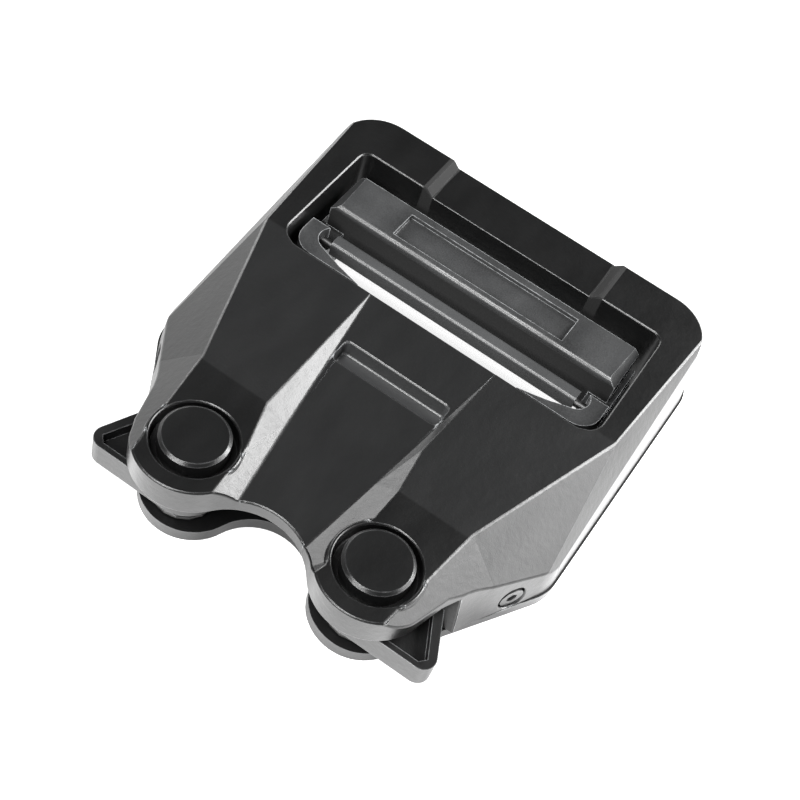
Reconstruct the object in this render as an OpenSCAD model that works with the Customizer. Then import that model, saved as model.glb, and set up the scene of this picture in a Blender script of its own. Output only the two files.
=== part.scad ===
// Receiver half of a quick-release belt buckle, for webbing about 45 mm wide.
// The tongue enters the mouth at -Y, the webbing loops through the window at +Y.
// Origin: centre of the footprint, on the surface that the buckle lies on. +Z is up.

/* [Body] */
// Width of the base, across the widest part of the side walls
body_w = 58.4; // [56:0.2:62]
// Length from the rear edge to the front of the lobes
body_len = 66.5; // [66:0.1:68]
// Height of the flat top of the webbing frame
frame_h = 12.3; // [12:0.1:14]
// How far the pivot bosses rise above the frame
boss_rise = 0.6; // [0.3:0.1:1]
// Thickness of the base plate
base_t = 1.8; // [1.6:0.1:2]
// Thickness of the roof over the tongue mouth
roof_t = 3.4; // [3.2:0.1:3.6]
// Radius of the rear corners
corner_r = 6; // [4:0.5:7]

/* [Webbing window] */
// Width of the window, the webbing's width plus play
window_w = 46; // [44:0.5:47]
// Length of the window along the belt
window_len = 20.1; // [19.8:0.1:20.4]
// Width of the rear bar
rear_bar = 7.8; // [7:0.1:8]
// Width of the shallow notch on the rear bar
notch_w = 25.7; // [20:0.1:30]
// Depth of the notch
notch_depth = 0.9; // [0.5:0.1:1.2]

/* [Levers] */
// Distance between the two pivot pins
pin_gap = 24.4; // [24:0.1:25]
// Radius of the front lobes around the pivots
lobe_r = 7.1; // [6.8:0.1:7.3]
// Radius of the pins' heads
head_r = 4.1; // [3.8:0.05:4.4]
// Radius of the counterbores around the heads
counterbore_r = 5; // [4.7:0.05:5.1]
// Radius of the pins' shafts
shaft_r = 2.5; // [2.2:0.05:2.6]
// Radius of the levers' hubs
hub_r = 4.6; // [4.4:0.1:4.7]
// How far the thumb ears reach from the middle plane
ear_reach = 23; // [22.5:0.1:23.4]

/* [Adjuster] */
// Rest gap between the grip bar and the rear bar
web_gap = 2.6; // [2.4:0.1:3]
// Length of the grip bar along the belt
grip_len = 7.2; // [6.6:0.1:7.4]
// Width of the floating cross bar
cross_bar_w = 2.1; // [1.8:0.1:2.2]

/* [Hidden] */
$fn = 64;

far = 80;
eps = 0.01;

// Heights
boss_h = frame_h + boss_rise;
roof_under = frame_h - roof_t;

// Plan of the body, right half
half_w = body_w / 2;
rear_y = body_len / 2;
rear_wall = rear_y - 0.4;
side_draft = 0.13;
window_rear = rear_y - rear_bar;
window_front = window_rear - window_len;
shoulder_r = 6.5;
shoulder = [half_w - 0.45 - shoulder_r, -7.8];
waist_r = 20;
waist = [half_w + 12.2, -28];
pin = [pin_gap / 2, lobe_r - rear_y];
mouth = [0, -35];

// Folds of the top: the wings rise from fold_y to wing_end, the bosses are flat
fold_y = 6.5;
wing_end = -16.9;
wing_slope = atan(boss_rise / (fold_y - wing_end));

// Sloping facets along the sides, each given by a point, its bearing and its slope
strip_from = [27.2, 27, frame_h];
strip_bearing = -4.3;
strip_slope = 63.5;
wing_from = [25.6, 6.3, frame_h];
wing_bearing = -16;
lobe_from = [18.5, -16.2, boss_h];
lobe_bearing = -7.5;
facet_slope = 44;

// Sunken centre panel between the wings
panel_top = frame_h;
panel_fall = 1.5 / 34;
panel_half = 9.1;
panel_taper = 0.137;

// Release levers
lever_low = 4.1;
lever_high = 7.5;
hub_high = roof_under - 0.15;
ear_tip_r = 1.6;
pivot_play = 0.06;

// Adjuster, which slides on rails in the side bars
slide_half = 22.3;
grip_rear = window_rear - web_gap;
grip_front = grip_rear - grip_len;
grip_half = 21.6;
grip_top = 11;
ledge_top = 10;
ledge_front = 7.3;
ledge_rear = 12.7;
arm_inner = 18.9;
rail_half = 24.8;
rail_low = 2.1;
rail_high = 4.8;
cross_bar_y = 12.4;
cross_bar_top = 9.2;
cross_bar_low = 7;
cross_bar_half = 18.4;

// Fasteners
side_screw_at = [25.7, -14.4, 3.7];
side_screw_bearing = -30;
base_screw_at = [[20.5, 29.4], [12.5, 2.1]];
post_at = [16.4, -17.4];

// Bearing of the straight side between two rounds, seen from their outer side
function side_bearing(a, ra, b, rb) =
    atan2(b[1] - a[1], b[0] - a[0]) - acos((ra - rb) / norm(b - a));
function on_round(c, r, bearing) = c + r * [cos(bearing), sin(bearing)];

module both_sides() {
    children();
    mirror([1, 0, 0]) children();
}

// Everything above a plane that falls towards its bearing
module above_facet(from, bearing, slope) {
    translate(from)
        rotate([0, 0, bearing])
            rotate([0, slope, 0])
                translate([-8, -far, 0])
                    cube([far, 2 * far, 40]);
}

// Points along an arc, and a right half's path closed by its mirror image
function arc(c, r, from, to, steps) =
    [for (k = [0 : steps]) on_round(c, r, from + (to - from) * k / steps)];
function mirrored(path) = [for (k = [len(path) - 1 : -1 : 0]) [-path[k][0], path[k][1]]];
function closed(path) = concat(path, mirrored([for (point = path) if (point[0] > eps) point]));

function front_path(lobe, lobe_r, mouth, start) = let (
        inward = atan2(mouth[1] - lobe[1], mouth[0] - lobe[0]),
        mouth_r = norm(lobe - mouth) - lobe_r
    ) concat(
        arc(lobe, lobe_r, start, inward, 26),
        arc(mouth, mouth_r, inward + 180, 90, 10)
    );
function rear_corner_path(aside, rear) =
    arc([half_w - corner_r - aside, rear - corner_r], corner_r, 90, 0, 14);

// Outline of the base plate: rear corners, shoulders, lobes and a round mouth
function base_path(lobe, lobe_r, mouth) = let (
        side = side_bearing(lobe, lobe_r, shoulder, shoulder_r)
    ) closed(concat(
        rear_corner_path(0, rear_y),
        arc(shoulder, shoulder_r, 0, side, 8),
        front_path(lobe, lobe_r, mouth, side)
    ));

// Outline of the housing at a height: its side walls lean in, its lobes are upright
function housing_path(z) = let (
        aside = side_draft * z,
        diagonal = -30,
        waist_end = -19
    ) closed(concat(
        rear_corner_path(aside, rear_wall),
        arc(shoulder - [aside, 0], shoulder_r, 0, diagonal, 7),
        arc(waist - [aside, 0], waist_r, 180 + diagonal, 180 + waist_end, 4),
        front_path(pin, lobe_r, mouth, waist_end)
    ));

// Outline of an opening with its own radius at the front and at the rear
function opening_path(half, rear, front, front_r, rear_r) = closed(concat(
        arc([half - rear_r, rear - rear_r], rear_r, 90, 0, 6),
        arc([half - front_r, front + front_r], front_r, 0, -90, 8)
    ));

// Solid between the housing's outlines at two heights
module housing_skin(low, high) {
    lower = housing_path(low);
    upper = housing_path(high);
    n = len(lower);
    polyhedron(
        concat([for (q = lower) [q[0], q[1], low]], [for (q = upper) [q[0], q[1], high]]),
        concat(
            [[for (k = [n - 1 : -1 : 0]) k], [for (k = [0 : n - 1]) n + k]],
            [for (k = [0 : n - 1]) [k, (k + 1) % n, n + k]],
            [for (k = [0 : n - 1]) [n + k, (k + 1) % n, n + (k + 1) % n]]
        )
    );
}

module window_outline() {
    front_r = 2.8;
    rear_r = 1.5;
    polygon(opening_path(window_w / 2, window_rear, window_front, front_r, rear_r));
}

// Sunken panel: its sides lean outwards, from the window to past the mouth.
// Each station: y, half width and height of its floor, half width and height of its rim
panel_rim_high = boss_h + 3;
function panel_floor(y) = panel_top - panel_fall * (window_front - y);
function panel_station(y, rim_half, rim_z) = let (
        low = panel_half - panel_taper * (window_front - y),
        z = panel_floor(y),
        lean = (rim_half - low) / max(rim_z - z, eps),
        top = low + lean * (panel_rim_high - z)
    ) [[-top, y, panel_rim_high], [-low, y, z], [low, y, z], [top, y, panel_rim_high]];
panel_points = concat(
    panel_station(window_front + 0.3, panel_half + 0.08, frame_h + 0.05),
    panel_station(wing_end, 9.05, boss_h),
    panel_station(-36, 6.1, boss_h)
);
panel_faces = [
    [0, 1, 2, 3], [11, 10, 9, 8],
    for (k = [0, 4], j = [0 : 3])
        for (face = [[k + j, k + 4 + j, k + (j + 1) % 4], [k + 4 + j, k + 4 + (j + 1) % 4, k + (j + 1) % 4]])
            face
];

module centre_panel_cut() {
    polyhedron(panel_points, panel_faces);
}

// Block that carries the outside shape of the top
module body_block() {
    difference() {
        housing_skin(base_t, boss_h);
        translate([-far, fold_y, frame_h])
            cube([2 * far, far, far]);
        translate([-far, fold_y, frame_h])
            rotate([-wing_slope, 0, 0])
                translate([0, wing_end - fold_y - 0.5, 0])
                    cube([2 * far, fold_y - wing_end + 0.5 + eps, far]);
        both_sides() {
            above_facet(strip_from, strip_bearing, strip_slope);
            intersection() {
                above_facet(wing_from, wing_bearing, facet_slope);
                above_facet(lobe_from, lobe_bearing, facet_slope);
            }
        }
        centre_panel_cut();
    }
}

// Space for the tongue and the levers, open to the front
module lever_chamber() {
    wall_end = -21.6;
    chamber_rear = -1;
    translate([0, 0, base_t - eps])
        linear_extrude(roof_under - base_t + eps)
            polygon([
                [-far, -far], [far, -far], [far, wall_end], [18.6, wall_end],
                [21.8, -11], [21.8, chamber_rear], [-21.8, chamber_rear],
                [-21.8, -11], [-18.6, wall_end], [-far, wall_end]
            ]);
}

// Channel in each side bar for the adjuster's rails, closed below by the base plate
module rail_channels() {
    channel_front = window_front + 0.8;
    channel_rear = window_rear - 0.5;
    both_sides()
        translate([window_w / 2 - 1, channel_front, base_t - eps])
            cube([rail_half + 0.3 - window_w / 2 + 1, channel_rear - channel_front,
                rail_high + 0.3 - base_t + eps]);
}

module rear_notch() {
    ramp = 1.1;
    top_half = notch_w / 2 + ramp / 2;
    low_half = notch_w / 2 - ramp / 2;
    translate([0, rear_y + 1, frame_h])
        rotate([90, 0, 0])
            linear_extrude(rear_bar + 3)
                polygon([
                    [-top_half - ramp, ramp], [-low_half, -notch_depth],
                    [low_half, -notch_depth], [top_half + ramp, ramp]
                ]);
}

// Blind pocket across the centre panel
module centre_pocket() {
    pocket_half = 7.4;
    pocket_front = -5.7;
    pocket_rear = -2.5;
    pocket_depth = 2.1;
    round_r = 0.7;
    translate([0, 0, panel_floor(pocket_front) - pocket_depth])
        linear_extrude(far)
            polygon(opening_path(pocket_half, pocket_rear, pocket_front, round_r, round_r));
}

module housing_top() {
    ring_w = 0.6;
    counterbore_depth = 1.9;
    pilot_r = 0.8;
    color([0.13, 0.13, 0.14])
        difference() {
            union() {
                body_block();
                both_sides()
                    translate([pin[0], pin[1], roof_under])
                        cylinder(r = counterbore_r + ring_w, h = boss_h - roof_under);
            }
            translate([0, 0, -1])
                linear_extrude(far)
                    window_outline();
            lever_chamber();
            rail_channels();
            rear_notch();
            centre_pocket();
            both_sides() {
                translate([pin[0], pin[1], boss_h - counterbore_depth])
                    cylinder(r = counterbore_r, h = far);
                translate([pin[0], pin[1], 0])
                    cylinder(r = shaft_r, h = far);
                for (at = base_screw_at)
                    translate([at[0], at[1], base_t - 1])
                        cylinder(r = pilot_r, h = 5.2);
                translate(side_screw_at)
                    rotate([0, 90, side_screw_bearing]) {
                        translate([0, 0, -0.9]) cylinder(r = 1.8, h = 4);
                        translate([0, 0, -3.2]) cylinder(r = 1.1, h = 4);
                    }
            }
        }
}

// Base plate: it closes the rails, carries the pins and has its own shorter lobes
base_lobe_r = 6.2;
base_lobe = [12, -24.9];
base_mouth = [0, -29.2];

washer_r = 3.1;
washer_t = 0.55;
washer_low = 0.1;
shank_r = 1.9;
screw_head_r = 1.7;
screw_r = 0.8;

module base_plate() {
    color([0.12, 0.12, 0.13])
        difference() {
            linear_extrude(base_t)
                difference() {
                    polygon(base_path(base_lobe, base_lobe_r, base_mouth));
                    window_outline();
                }
            both_sides() {
                translate([pin[0], pin[1], -1])
                    cylinder(r = shank_r, h = far);
                translate([pin[0], pin[1], -1])
                    cylinder(r = washer_r, h = 1 + washer_low + washer_t);
                for (at = base_screw_at) {
                    translate([at[0], at[1], -1]) cylinder(r = screw_r, h = far);
                    translate([at[0], at[1], -eps])
                        cylinder(r1 = screw_head_r, r2 = screw_r, h = screw_head_r - screw_r + eps);
                }
                translate([post_at[0], post_at[1], base_t - 1])
                    cylinder(r = post_r, h = far);
            }
        }
}

// One release lever, right hand: ear outside, hub on the pin, latch arm inside
pad_low = [20.1, -23.1];

module lever_outline() {
    translate(pin) circle(hub_r);
    tip = [ear_reach - ear_tip_r, pin[1] - hub_r + ear_tip_r];
    pad_bearing = side_bearing(tip, ear_tip_r, pad_low, 0.3);
    polygon([
        [pin[0], pin[1] - hub_r],
        [tip[0], pin[1] - hub_r],
        tip,
        on_round(tip, ear_tip_r, pad_bearing),
        on_round(pad_low, 0.3, pad_bearing),
        [18.2, -22.2],
        [pin[0] + 3, pin[1] + 2]
    ]);
    translate(tip) circle(ear_tip_r);
    // latch arm and its hook
    polygon([
        [pin[0] + hub_r, pin[1]],
        [17.2, -20.5],
        [17, -8.4],
        [8.6, -8.4],
        [7.6, -10.4],
        [12.4, -11.6],
        [12.8, -19],
        [pin[0] - hub_r + 1, pin[1] + 2.6]
    ]);
}

// Outline of the hollow in the ear's top
module ear_hollow() {
    rim = 0.75;
    low = pin[1] - hub_r + rim;
    polygon([
        [17, low],
        [21.3, low],
        [22, low + 0.8],
        [19.4, -23.7],
        [18, -23.4]
    ]);
}

module lever_right_solid() {
    hollow_depth = 1.5;
    difference() {
        union() {
            translate([0, 0, lever_low])
                linear_extrude(lever_high - lever_low)
                    lever_outline();
            translate([pin[0], pin[1], lever_low])
                cylinder(r = hub_r, h = hub_high - lever_low);
        }
        translate([pin[0], pin[1], 0])
            cylinder(r = shaft_r + pivot_play, h = far);
        translate([0, 0, lever_high - hollow_depth])
            linear_extrude(far)
                ear_hollow();
    }
}

module lever_right() {
    color([0.11, 0.11, 0.12]) lever_right_solid();
}

module lever_left() {
    color([0.11, 0.11, 0.12]) mirror([1, 0, 0]) lever_right_solid();
}

// Headed pivot pin, spread over a washer under the base plate
module pin_solid() {
    head_rise = 0.8;
    head_low = boss_h - 1.9;
    head_top = boss_h + head_rise;
    bevel = 0.35;
    translate([pin[0], pin[1], 0])
        rotate_extrude()
            polygon([
                [0, washer_low], [shank_r, washer_low], [shank_r, base_t],
                [shaft_r, base_t], [shaft_r, head_low], [head_r, head_low],
                [head_r, head_top - bevel], [head_r - bevel, head_top], [0, head_top]
            ]);
}

module pivot_pin_right() {
    color([0.1, 0.1, 0.11]) pin_solid();
}

module pivot_pin_left() {
    color([0.1, 0.1, 0.11]) mirror([1, 0, 0]) pin_solid();
}

module ring(at, outer, inner, low, high) {
    translate([at[0], at[1], low])
        difference() {
            cylinder(r = outer, h = high - low);
            translate([0, 0, -1]) cylinder(r = inner, h = high - low + 2);
        }
}

module pin_washer_right() {
    color([0.55, 0.55, 0.57]) ring(pin, washer_r, shank_r, washer_low, washer_low + washer_t);
}

module pin_washer_left() {
    color([0.55, 0.55, 0.57]) mirror([1, 0, 0])
        ring(pin, washer_r, shank_r, washer_low, washer_low + washer_t);
}

spacer_r = 3;

module hub_spacer_right() {
    color([0.6, 0.6, 0.62]) ring(pin, spacer_r, shaft_r, base_t, lever_low - 0.05);
}

module hub_spacer_left() {
    color([0.6, 0.6, 0.62]) mirror([1, 0, 0])
        ring(pin, spacer_r, shaft_r, base_t, lever_low - 0.05);
}

// Return spring around the spacer: two turns with two legs
wire_r = 0.3;
coil_r = 3.65;
coil_pitch = 0.65;

module spring_solid() {
    $fn = 16;
    reach = post_at - pin;
    aside = coil_r - wire_r - post_r - 0.05;
    leg_len = norm(reach) + 1;
    leg_turn = atan2(reach[1], reach[0]) - asin(aside / norm(reach));
    for (k = [0 : 2])
        translate([pin[0], pin[1], base_t + 0.45 + k * coil_pitch])
            rotate_extrude()
                translate([coil_r, 0]) circle(wire_r);
    translate([pin[0], pin[1], base_t + 0.45])
        rotate([0, 0, leg_turn])
            translate([0, coil_r, 0])
                rotate([0, 90, 0])
                    cylinder(r = wire_r, h = leg_len);
    translate([pin[0] - coil_r, pin[1], base_t + 0.45 + 2 * coil_pitch])
        cylinder(r = wire_r, h = 0.42);
}

module lever_spring_right() {
    color([0.7, 0.7, 0.72]) spring_solid();
}

module lever_spring_left() {
    color([0.7, 0.7, 0.72]) mirror([1, 0, 0]) spring_solid();
}

// Post that holds the spring's fixed leg
post_r = 0.7;

module post_solid() {
    translate([post_at[0], post_at[1], base_t - 1])
        cylinder(r = post_r, h = 2.9);
}

module spring_post_right() {
    color([0.6, 0.6, 0.62]) post_solid();
}

module spring_post_left() {
    color([0.6, 0.6, 0.62]) mirror([1, 0, 0]) post_solid();
}

// Adjuster: grip bar at the rear, a ledge with a toe on each side, rails below.
// The ledge ends in a round slot around the end of the cross bar
module adjuster_ledge() {
    toe_tip = [11.8, ledge_front];
    front_r = 3;
    slot_at = [18.1, 11.3];
    slot_r = 2.05;
    polygon(concat(
        [[slide_half, ledge_rear]],
        arc(slot_at, slot_r, 43, -75, 10),
        [[15.4, ledge_front + 0.9], toe_tip],
        arc([slide_half - front_r, ledge_front + front_r], front_r, -90, 0, 8)
    ));
}

module grip_profile() {
    nose_r = 0.8;
    lip = 4.6;
    translate([grip_front + nose_r, grip_top - nose_r]) circle(nose_r);
    polygon([
        [grip_front, lip], [grip_rear, lip], [grip_rear, grip_top - 0.35],
        [grip_front + nose_r, grip_top], [grip_front, grip_top - nose_r]
    ]);
}

module adjuster_slide() {
    recess_half = 12.8;
    recess_front = grip_front + 1.2;
    recess_len = 4.8;
    recess_depth = 0.9;
    arm_low = 5.4;
    arm_top = 7;
    arm_w = slide_half - arm_inner;
    rail_front = window_front + 2.7;
    rail_len = grip_rear - rail_front - 0.5;
    color([0.2, 0.2, 0.21])
        difference() {
            union() {
                intersection() {
                    rotate([90, 0, 90])
                        translate([0, 0, -grip_half])
                            linear_extrude(2 * grip_half)
                                grip_profile();
                    both_sides_trim();
                }
                translate([0, 0, arm_low])
                    linear_extrude(ledge_top - arm_low)
                        both_sides() adjuster_ledge();
                both_sides() {
                    translate([arm_inner, ledge_rear - 1, arm_low])
                        cube([arm_w, grip_rear - ledge_rear + 1, arm_top - arm_low]);
                    translate([arm_inner, rail_front, rail_low])
                        cube([arm_w, rail_len, arm_low - rail_low + eps]);
                    translate([slide_half - eps, rail_front, rail_low])
                        cube([rail_half - slide_half, rail_len, rail_high - rail_low]);
                }
            }
            translate([-recess_half, recess_front, grip_top - recess_depth])
                cube([2 * recess_half, recess_len, far]);
            cross_bar_pin_holes();
        }
}

// Bevelled ends of the grip bar
module both_sides_trim() {
    bevel = 1.2;
    rotate([90, 0, 0])
        translate([0, 0, -far / 2])
            linear_extrude(far)
                polygon([
                    [-grip_half, 0], [grip_half, 0], [grip_half, ledge_top],
                    [grip_half - bevel, grip_top + eps], [bevel - grip_half, grip_top + eps],
                    [-grip_half, ledge_top]
                ]);
}

bar_pin_r = 0.55;
bar_pin_from = 17;
bar_pin_len = 4.4;
bar_pin_z = (cross_bar_top + cross_bar_low) / 2;

module cross_bar_pin_solid() {
    translate([bar_pin_from, cross_bar_y - 0.4, bar_pin_z])
        rotate([0, 90, 0])
            cylinder(r = bar_pin_r, h = bar_pin_len);
}

module cross_bar_pin_holes() {
    both_sides() cross_bar_pin_solid();
}

// Cross bar between the arms, on a pin at each end
module cross_bar() {
    round_r = 0.6;
    half = cross_bar_w / 2;
    color([0.18, 0.18, 0.19])
        difference() {
            translate([0, cross_bar_y, 0])
                rotate([90, 0, 90])
                    translate([0, 0, -cross_bar_half])
                        linear_extrude(2 * cross_bar_half)
                            polygon(opening_path(half, cross_bar_top, cross_bar_low, 0.2, round_r));
            cross_bar_pin_holes();
        }
}

module cross_bar_pins() {
    color([0.6, 0.6, 0.62]) both_sides() cross_bar_pin_solid();
}

// Socket screw in each shoulder
module side_screw_solid() {
    socket_r = 0.75;
    translate(side_screw_at)
        rotate([0, 90, side_screw_bearing])
            difference() {
                union() {
                    translate([0, 0, -0.9]) cylinder(r = 1.55, h = 0.7);
                    translate([0, 0, -3.1]) cylinder(r = 1.1, h = 2.3);
                }
                translate([0, 0, -0.6]) cylinder(r = socket_r, h = 3, $fn = 6);
            }
}

module side_screw_right() {
    color([0.2, 0.2, 0.21]) side_screw_solid();
}

module side_screw_left() {
    color([0.2, 0.2, 0.21]) mirror([1, 0, 0]) side_screw_solid();
}

// Four countersunk screws that hold the base plate
module base_screws() {
    drive_r = 0.7;
    color([0.5, 0.5, 0.52])
        both_sides()
            for (at = base_screw_at)
                translate([at[0], at[1], 0])
                    difference() {
                        union() {
                            translate([0, 0, 0.05])
                                cylinder(r1 = screw_head_r - 0.15, r2 = screw_r,
                                    h = screw_head_r - screw_r - 0.15);
                            translate([0, 0, 0.05]) cylinder(r = screw_r, h = 5.4);
                        }
                        translate([0, 0, -1]) cylinder(r = drive_r, h = 1.5, $fn = 6);
                    }
}

housing_top();
base_plate();
lever_left();
lever_right();
pivot_pin_left();
pivot_pin_right();
pin_washer_left();
pin_washer_right();
hub_spacer_left();
hub_spacer_right();
lever_spring_left();
lever_spring_right();
spring_post_left();
spring_post_right();
adjuster_slide();
cross_bar();
cross_bar_pins();
side_screw_left();
side_screw_right();
base_screws();
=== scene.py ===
import math

import bpy
from mathutils import Matrix, Vector

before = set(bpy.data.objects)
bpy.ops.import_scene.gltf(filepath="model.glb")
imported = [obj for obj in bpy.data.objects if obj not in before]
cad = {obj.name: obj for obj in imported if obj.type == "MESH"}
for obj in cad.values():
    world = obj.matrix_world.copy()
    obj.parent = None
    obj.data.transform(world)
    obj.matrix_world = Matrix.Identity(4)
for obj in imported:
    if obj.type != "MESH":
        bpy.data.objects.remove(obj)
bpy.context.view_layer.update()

MM = 0.001

# Places on the buckle where light and shade are painted, in mm from the middle of its footprint:
# they follow the CAD's shapes.
WINGS_Y = (-16.9, 6.5)
PANEL_Y = (-40, 5.4)
PANEL_HALF_AT_CENTRE = 8.37
PANEL_TAPER = 0.137
POCKET_Y = (-5.7, -2.5)
POCKET_HALF = 7.4
GRIP_FRONT_Y = (15.2, 15.75)
GRIP_NOSE_Z = (9.9, 10.3)
NOTCH_RAMP_X = (12.1, 13.9)
NOTCH_RAMP_Y = (25.3, 34)

# What a noise texture mostly stays within.
NOISE_SPAN = (0.3, 0.7)

# Black finish: its trace of blue, the share of clouding against grain in its tone, how wide its
# edges are rubbed and how much smoother that makes them, how much lighter the pocket's bottom is
# painted than the wings as painted light, and the painted shade and roughness of the dull places.
COOL = 0.02
CLOUD_SHARE = 0.6
RUBBED_MM = 0.22
POLISH = -0.12
POCKET_PAINTED_LIGHT_GAIN = 6
PAINTED_SHADE_GREY = 0.002
MATTE_ROUGH = 0.85

# Edges: how CAD meshes are cleaned, and which of their edges are kept or rounded.
WELD_MM = 0.002
FLAT_ANGLE = math.radians(0.25)
CREASE_ANGLE = math.radians(0.4)
EDGE_ANGLE = math.radians(24)
BROAD_FACE_M2 = 6e-6

# Painted light on the floor, which glows though it is no lamp: dimmer under the buckle as painted
# shade, bright close to its front and right, dim beyond that and at its left, and rising again
# far
# off. The spans are in mm: the first two are measured from the buckle's right and front sides,
# the left one along X, and the far one from the middle.
GLOW_PLAIN = 0.85
GLOW_BRIGHT = 2.8
GLOW_DIM = 0.35
GLOW_RIGHT = 27
GLOW_FRONT = 30
GLOW_RISE = (-1, 2)
GLOW_FALL = (12, 32)
GLOW_LEFT = (-36, -30)
GLOW_FAR = (160, 600)

# Stage, in metres and watts: name, place, height aimed at, size and power of each softbox.
FLOOR_REACH = 4.0
FLOOR_WALL = 1.2
FLOOR_STEPS = 64
FLOOR_GAP_MM = 0.02
WORLD_LIGHT = 0.02
SOFTBOXES = (
    ("key_rear_right", (0.62, 0.65, 0.64), 0.01, (0.6, 0.46), 22),
    ("key_low", (0.76, 0.69, 0.20), 0.01, (0.3, 0.24), 7),
    ("overhead_front", (-0.10, -0.38, 0.93), 0, (0.42, 0.26), 12),
    ("front_rim", (-0.2, -0.85, 0.62), 0, (0.6, 0.25), 12),
    ("right_low", (1.0, 0.32, 0.26), 0.01, (0.5, 0.3), 4),
    ("left_rear", (-0.80, 0.60, 0.36), 0.01, (0.5, 0.4), 4.5),
)

CAMERA_AZIMUTH = math.radians(15.4991)
CAMERA_ELEVATION = math.radians(52.0176)
CAMERA_ROLL = math.radians(21.0963)
CAMERA_PLACE_MM = (29.809, -105.115, 144.259)


# ---- shader nodes -----------------------------------------------------------

class Shader:
    """Builds one procedural material around a Principled shader."""

    def __init__(self, name):
        self.mat = bpy.data.materials.new(name)
        self.mat.use_nodes = True
        self.tree = self.mat.node_tree
        self.bsdf = self.tree.nodes["Principled BSDF"]
        self.coords = self.tree.nodes.new("ShaderNodeTexCoord").outputs["Object"]

    def node(self, kind, **values):
        made = self.tree.nodes.new(kind)
        for key, value in values.items():
            setattr(made, key, value)
        return made

    def link(self, source, socket):
        self.tree.links.new(source, socket)

    def feed(self, socket, value):
        if isinstance(value, bpy.types.NodeSocket):
            self.link(value, socket)
        else:
            socket.default_value = value

    def math(self, operation, a, b=0.0):
        made = self.node("ShaderNodeMath", operation=operation)
        self.feed(made.inputs[0], a)
        self.feed(made.inputs[1], b)
        return made.outputs[0]

    def axis(self, name):
        made = self.node("ShaderNodeSeparateXYZ")
        self.link(self.coords, made.inputs[0])
        return made.outputs[name]

    def ramp(self, value, low, high, out_low=0.0, out_high=1.0):
        made = self.node("ShaderNodeMapRange", clamp=True)
        self.feed(made.inputs["Value"], value)
        made.inputs["From Min"].default_value = low
        made.inputs["From Max"].default_value = high
        made.inputs["To Min"].default_value = out_low
        made.inputs["To Max"].default_value = out_high
        return made.outputs["Result"]

    def ramp_mm(self, value, low_mm, high_mm, out_low=0.0, out_high=1.0):
        return self.ramp(value, low_mm * MM, high_mm * MM, out_low, out_high)

    def band(self, value, low_mm, high_mm, soft_mm=0.15):
        """1 between two places along an axis, 0 outside them."""
        rise = self.ramp_mm(value, low_mm - soft_mm, low_mm + soft_mm)
        fall = self.ramp_mm(value, high_mm - soft_mm, high_mm + soft_mm, 1.0, 0.0)
        return self.math("MULTIPLY", rise, fall)

    def noise(self, grain_mm, detail=2.0, stretch=(1, 1, 1)):
        mapping = self.node("ShaderNodeMapping")
        self.link(self.coords, mapping.inputs["Vector"])
        mapping.inputs["Scale"].default_value = stretch
        made = self.node("ShaderNodeTexNoise")
        self.link(mapping.outputs["Vector"], made.inputs["Vector"])
        made.inputs["Scale"].default_value = 1 / (grain_mm * MM)
        made.inputs["Detail"].default_value = detail
        return made.outputs["Fac"]

    def mix(self, factor, a, b):
        made = self.node("ShaderNodeMix", data_type="RGBA")
        self.feed(made.inputs["Factor"], factor)
        self.feed(made.inputs["A"], a)
        self.feed(made.inputs["B"], b)
        return made.outputs["Result"]

    def edges(self, width_mm, faint=0.02, full=0.25):
        """1 on convex and concave edges within the width, 0 elsewhere."""
        rounded = self.node("ShaderNodeBevel", samples=6)
        rounded.inputs["Radius"].default_value = width_mm * MM
        plain = self.node("ShaderNodeNewGeometry")
        dot = self.node("ShaderNodeVectorMath", operation="DOT_PRODUCT")
        self.link(rounded.outputs["Normal"], dot.inputs[0])
        self.link(plain.outputs["Normal"], dot.inputs[1])
        return self.ramp(self.math("SUBTRACT", 1.0, dot.outputs["Value"]), faint, full)

    def bump(self, layers):
        """Each layer is a height, a strength and a depth in mm."""
        normal = None
        for height, strength, depth_mm in layers:
            made = self.node("ShaderNodeBump")
            made.inputs["Strength"].default_value = strength
            made.inputs["Distance"].default_value = depth_mm * MM
            self.link(height, made.inputs["Height"])
            if normal is not None:
                self.link(normal, made.inputs["Normal"])
            normal = made.outputs["Normal"]
        self.link(normal, self.bsdf.inputs["Normal"])


def grey(value, tint=0.0):
    return (value * (1 - tint), value, value * (1 + tint), 1.0)


# ---- places with painted light or shade -------------------------------------

def wings_and_panel_painted_light(s):
    """1 on the wings and the centre panel, which get painted light: a lighter grey than the
    frame.
    """
    x, y = s.axis("X"), s.axis("Y")
    wings = s.band(y, *WINGS_Y)
    half = s.math("ADD", s.math("MULTIPLY", y, PANEL_TAPER), PANEL_HALF_AT_CENTRE * MM)
    inside = s.math("SUBTRACT", half, s.math("ABSOLUTE", x))
    panel = s.math("MULTIPLY", s.ramp_mm(inside, -0.1, 0.1), s.band(y, *PANEL_Y))
    return s.math("MAXIMUM", wings, panel)


def painted_light_on_pocket(s):
    """1 over the pocket in the centre panel, whose bottom gets the lightest painted light."""
    along = s.band(s.axis("Y"), *POCKET_Y, soft_mm=0.05)
    across = s.band(s.axis("X"), -POCKET_HALF, POCKET_HALF, soft_mm=0.05)
    return s.math("MULTIPLY", along, across)


def grip_front_shade(s):
    """1 on the front of the grip bar, below its nose, which gets painted shade to stay dark."""
    below = s.ramp_mm(s.axis("Z"), *GRIP_NOSE_Z, 1.0, 0.0)
    return s.math("MULTIPLY", below, s.band(s.axis("Y"), *GRIP_FRONT_Y, soft_mm=0.05))


def notch_ramp_shade(s):
    """1 on the ramps of the rear notch, which get painted shade and are made dull."""
    across = s.band(s.math("ABSOLUTE", s.axis("X")), *NOTCH_RAMP_X)
    return s.math("MULTIPLY", across, s.band(s.axis("Y"), *NOTCH_RAMP_Y))


# ---- materials --------------------------------------------------------------

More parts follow.
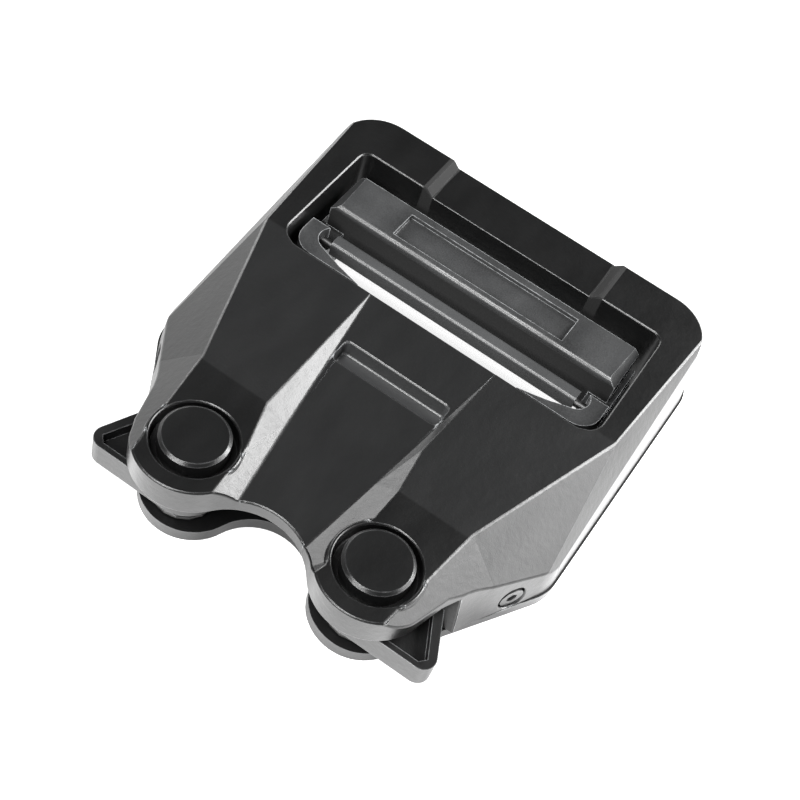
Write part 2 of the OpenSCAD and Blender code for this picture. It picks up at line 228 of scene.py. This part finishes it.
def blasted_black(name, dark, light, rough, grain_mm=0.16, wear=0.5, worn=0.09, scuffs=0.025,
                  painted_light_grey=None, shaded_dull_places=None):
    """Bead-blasted black metal, a little polished along its edges.

    dark and light are the greys that its tone clouds between, and scuffs is how much its gloss
    varies. wear is how much of an edge is rubbed, down to the grey worn. painted_light_grey is
    painted light: the lighter grey of the wings and the centre panel. shaded_dull_places marks
    the places that are dull and get painted shade.
    """
    s = Shader(name)
    fine = s.noise(grain_mm, detail=3)
    cloud = s.noise(grain_mm=9, detail=3)
    smear = s.noise(grain_mm=3.2, detail=4, stretch=(1, 0.35, 1))
    tone = s.math("ADD", s.math("MULTIPLY", cloud, CLOUD_SHARE),
                  s.math("MULTIPLY", fine, 1 - CLOUD_SHARE))
    base = s.mix(s.ramp(tone, *NOISE_SPAN), grey(dark, COOL), grey(light, COOL))
    if painted_light_grey is not None:
        # Painted light: the wings and the centre panel get a lighter grey than the frame.
        base = s.mix(wings_and_panel_painted_light(s), base, grey(painted_light_grey, COOL))
        # Painted light: the pocket's bottom gets a lighter grey still.
        base = s.mix(painted_light_on_pocket(s), base, grey(POCKET_PAINTED_LIGHT_GAIN * painted_light_grey, COOL))
    if shaded_dull_places is not None:
        # Painted shade: the marked places are darkened to a near-black grey, and made rough
        # below.
        shade_and_dull = shaded_dull_places(s)
        base = s.mix(shade_and_dull, base, grey(PAINTED_SHADE_GREY))
    patches = s.ramp(s.noise(grain_mm=1.1, detail=4), low=0.25, high=0.55)
    rubbed = s.math("MULTIPLY", s.edges(RUBBED_MM), patches)
    base = s.mix(s.math("MULTIPLY", rubbed, wear), base, grey(worn, COOL))
    s.link(base, s.bsdf.inputs["Base Color"])
    patchy = s.ramp(smear, *NOISE_SPAN, rough - scuffs, rough + scuffs)
    gloss = s.math("ADD", patchy, s.math("MULTIPLY", rubbed, POLISH))
    if shaded_dull_places is not None:
        gloss = s.math("MAXIMUM", gloss, s.math("MULTIPLY", shade_and_dull, MATTE_ROUGH))
    s.link(gloss, s.bsdf.inputs["Roughness"])
    s.bsdf.inputs["Specular IOR Level"].default_value = 0.5
    s.bump([(fine, 0.8, 0.012), (s.noise(grain_mm=0.9, detail=4), 0.6, 0.05)])
    return s.mat


def bare_steel(name, value, rough):
    """Turned steel with fine rings of machining and light staining."""
    s = Shader(name)
    rings = s.noise(grain_mm=0.12, detail=3, stretch=(1, 1, 6))
    stain = s.ramp(s.noise(grain_mm=4, detail=3), *NOISE_SPAN)
    s.link(s.mix(stain, grey(value * 0.8), grey(value)), s.bsdf.inputs["Base Color"])
    s.bsdf.inputs["Metallic"].default_value = 1.0
    s.link(s.ramp(rings, *NOISE_SPAN, rough - 0.06, rough + 0.08), s.bsdf.inputs["Roughness"])
    s.bump([(rings, 0.25, 0.004)])
    return s.mat


def floor_glow(s):
    """How brightly the over-exposed floor glows around the buckle: painted light near it, and
    painted shade under it.
    """
    x, y = s.axis("X"), s.axis("Y")
    right = s.math("SUBTRACT", x, GLOW_RIGHT * MM)
    front = s.math("SUBTRACT", s.math("MULTIPLY", y, -1.0), GLOW_FRONT * MM)
    away = s.math("MAXIMUM", right, front)
    rise = s.ramp_mm(away, *GLOW_RISE, GLOW_PLAIN, GLOW_BRIGHT)
    fall = s.ramp_mm(away, *GLOW_FALL, 0.0, GLOW_BRIGHT - GLOW_DIM)
    left = s.ramp_mm(x, *GLOW_LEFT, GLOW_PLAIN - GLOW_DIM, 0.0)
    near = s.math("SUBTRACT", s.math("SUBTRACT", rise, fall), left)
    apart = s.math("MAXIMUM", s.math("ABSOLUTE", x), s.math("ABSOLUTE", y))
    far = s.ramp_mm(apart, *GLOW_FAR, 0.0, GLOW_PLAIN - GLOW_DIM)
    return s.math("ADD", near, far)


def floor_material():
    s = Shader("floor_paper")
    mottle = s.noise(grain_mm=60, detail=2)
    fibre = s.noise(grain_mm=1.5, detail=2)
    s.link(s.mix(mottle, grey(0.34), grey(0.36)), s.bsdf.inputs["Base Color"])
    s.link(s.ramp(fibre, *NOISE_SPAN, 0.75, 0.85), s.bsdf.inputs["Roughness"])
    s.bsdf.inputs["Specular IOR Level"].default_value = 0.2
    s.bsdf.inputs["Emission Color"].default_value = (1, 1, 1, 1)
    # The glow is painted light on the floor, dimmer under the buckle as painted shade.
    s.link(floor_glow(s), s.bsdf.inputs["Emission Strength"])
    s.bump([(s.noise(grain_mm=0.4, detail=2), 0.05, 0.01)])
    return s.mat


# ---- edges ------------------------------------------------------------------

def crease_group():
    """Marks steep edges sharp, and slight ones between broad flat faces too."""
    group = bpy.data.node_groups.new("mark_creases", "GeometryNodeTree")
    group.interface.new_socket("Geometry", in_out="INPUT", socket_type="NodeSocketGeometry")
    group.interface.new_socket("Geometry", in_out="OUTPUT", socket_type="NodeSocketGeometry")
    nodes, links = group.nodes, group.links

    def above(value, limit):
        made = nodes.new("FunctionNodeCompare")
        made.operation = "GREATER_THAN"
        links.new(value, made.inputs[0])
        made.inputs[1].default_value = limit
        return made.outputs[0]

    def logic(operation, *values):
        made = nodes.new("FunctionNodeBooleanMath")
        made.operation = operation
        for place, value in enumerate(values):
            links.new(value, made.inputs[place])
        return made.outputs[0]

    def shade_smooth(domain):
        made = nodes.new("GeometryNodeSetShadeSmooth")
        made.domain = domain
        return made

    angle = nodes.new("GeometryNodeInputMeshEdgeAngle").outputs["Unsigned Angle"]
    area = nodes.new("GeometryNodeInputMeshFaceArea").outputs[0]
    crease = logic("AND", above(angle, CREASE_ANGLE), above(area, BROAD_FACE_M2))
    sharp = logic("OR", crease, above(angle, EDGE_ANGLE))
    start = nodes.new("NodeGroupInput")
    faces = shade_smooth("FACE")
    edges = shade_smooth("EDGE")
    end = nodes.new("NodeGroupOutput")
    links.new(start.outputs[0], faces.inputs["Geometry"])
    links.new(faces.outputs[0], edges.inputs["Geometry"])
    links.new(logic("NOT", sharp), edges.inputs["Shade Smooth"])
    links.new(edges.outputs[0], end.inputs[0])
    return group


CREASES = crease_group()


def soften(obj, width_mm, clamp):
    """Breaks the sharp edges of a CAD node, as tumbling and blasting do.

    The faces are triangles before they are bevelled, because a large face that bends around a
    recess would otherwise be drawn over it.
    """
    weld = obj.modifiers.new("weld", "WELD")
    weld.merge_threshold = WELD_MM * MM
    flat = obj.modifiers.new("merge_flat", "DECIMATE")
    flat.decimate_type = "DISSOLVE"
    flat.angle_limit = FLAT_ANGLE
    split = obj.modifiers.new("split", "TRIANGULATE")
    split.ngon_method = "BEAUTY"
    creases = obj.modifiers.new("creases", "NODES")
    creases.node_group = CREASES
    bevel = obj.modifiers.new("bevel", "BEVEL")
    bevel.width = width_mm * MM
    bevel.segments = 2
    bevel.limit_method = "ANGLE"
    bevel.angle_limit = EDGE_ANGLE
    bevel.use_clamp_overlap = clamp
    bevel.miter_outer = "MITER_ARC"
    normals = obj.modifiers.new("normals", "WEIGHTED_NORMAL")
    normals.keep_sharp = True
    normals.weight = 100


# ---- the buckle -------------------------------------------------------------

def pair(name):
    return (name + "_left", name + "_right")


def part_finishes():
    """Rows of CAD nodes, their material and the width of their broken edges in mm, 0 for none."""
    # The body gets painted light on its wings, centre panel and pocket, and painted shade on its
    # notch ramps.
    body = blasted_black("body_blasted_black", dark=0.002, light=0.0035, rough=0.32, wear=0.9,
                         worn=0.32, painted_light_grey=0.0075, shaded_dull_places=notch_ramp_shade)
    plate = blasted_black("base_blasted_black", dark=0.004, light=0.006, rough=0.36, wear=0.7,
                          worn=0.16)
    lever = blasted_black("lever_blasted_black", dark=0.004, light=0.006, rough=0.34, wear=0.9,
                          worn=0.2)
    # The grip bar's front, below its nose, gets painted shade.
    slide = blasted_black("adjuster_blasted_black", dark=0.010, light=0.045, rough=0.34, wear=0.9,
                          worn=0.4, scuffs=0.07, shaded_dull_places=grip_front_shade)
    pins = blasted_black("pin_black_steel", dark=0.003, light=0.005, rough=0.30, grain_mm=0.12,
                         wear=0.9, worn=0.3)
    bar = blasted_black("bar_black_steel", dark=0.03, light=0.05, rough=0.36, grain_mm=0.12)
    screws = blasted_black("screw_black_oxide", dark=0.010, light=0.015, rough=0.38, grain_mm=0.1)
    return (
        (("housing_top",), body, 0.2),
        (("base_plate",), plate, 0.15),
        (pair("lever"), lever, 0.14),
        (("adjuster_slide",), slide, 0.14),
        (pair("pivot_pin"), pins, 0.1),
        (("cross_bar",), bar, 0.1),
        (pair("side_screw") + ("base_screws",), screws, 0.05),
        (pair("pin_washer"), bare_steel("washer_steel", value=0.55, rough=0.3), 0),
        (pair("hub_spacer"), bare_steel("spacer_steel", value=0.06, rough=0.45), 0),
        (pair("lever_spring"), bare_steel("spring_steel", value=0.09, rough=0.4), 0),
        (pair("spring_post"), bare_steel("post_steel", value=0.52, rough=0.3), 0),
        (("cross_bar_pins",), bare_steel("bar_pin_steel", value=0.07, rough=0.45), 0),
    )


def dress_parts():
    """The housing's bevel isn't clamped: its shortest edges would make every other one narrow."""
    for names, material, edge_mm in part_finishes():
        for name in names:
            materials = cad[name].data.materials
            materials.clear()
            materials.append(material)
            if edge_mm:
                soften(cad[name], edge_mm, clamp=name != "housing_top")


# ---- stage ------------------------------------------------------------------

def build_floor():
    """A round floor with a low wall, so that low views have a pale backdrop too."""
    steps = range(FLOOR_STEPS)
    turns = [2 * math.pi * k / FLOOR_STEPS for k in steps]
    rim = [(FLOOR_REACH * math.cos(t), FLOOR_REACH * math.sin(t), 0) for t in turns]
    crest = [(x, y, FLOOR_WALL) for x, y, _ in rim]
    nexts = [(k + 1) % FLOOR_STEPS for k in steps]
    sides = [(k, FLOOR_STEPS + k, FLOOR_STEPS + after, after) for k, after in zip(steps, nexts)]
    mesh = bpy.data.meshes.new("floor")
    mesh.from_pydata(rim + crest, [], [tuple(steps)] + sides)
    floor = bpy.data.objects.new("floor", mesh)
    bpy.context.scene.collection.objects.link(floor)
    mesh.materials.append(floor_material())
    floor.location.z = -FLOOR_GAP_MM * MM


def softbox(name, place, aim_height, size, power):
    data = bpy.data.lights.new(name, "AREA")
    data.shape = "RECTANGLE"
    data.size, data.size_y = size
    data.energy = power
    light = bpy.data.objects.new(name, data)
    bpy.context.scene.collection.objects.link(light)
    light.location = place
    aim = Vector((0, 0, aim_height)) - Vector(place)
    light.rotation_euler = aim.to_track_quat("-Z", "Y").to_euler()


def build_lights():
    world = bpy.data.worlds.new("studio")
    bpy.context.scene.world = world
    world.use_nodes = True
    background = world.node_tree.nodes["Background"]
    background.inputs["Color"].default_value = (1, 1, 1, 1)
    background.inputs["Strength"].default_value = WORLD_LIGHT
    for name, place, aim_height, size, power in SOFTBOXES:
        softbox(name, place, aim_height, size, power)


def build_camera():
    data = bpy.data.cameras.new("camera")
    data.sensor_width = 36
    data.lens = 64.8
    data.clip_start = 0.01
    camera = bpy.data.objects.new("camera", data)
    bpy.context.scene.collection.objects.link(camera)
    ahead, aside = math.cos(CAMERA_AZIMUTH), math.sin(CAMERA_AZIMUTH)
    reach, rise = math.cos(CAMERA_ELEVATION), math.sin(CAMERA_ELEVATION)
    back = Vector((aside * reach, -ahead * reach, rise))
    level = Vector((ahead, aside, 0))
    upright = back.cross(level)
    right = level * math.cos(CAMERA_ROLL) + upright * math.sin(CAMERA_ROLL)
    up = upright * math.cos(CAMERA_ROLL) - level * math.sin(CAMERA_ROLL)
    turn = Matrix((right, up, back)).transposed().to_4x4()
    camera.matrix_world = Matrix.Translation(Vector(CAMERA_PLACE_MM) * MM) @ turn
    bpy.context.scene.camera = camera


dress_parts()
build_floor()
build_lights()
build_camera()
bpy.context.scene.view_settings.view_transform = "Standard"
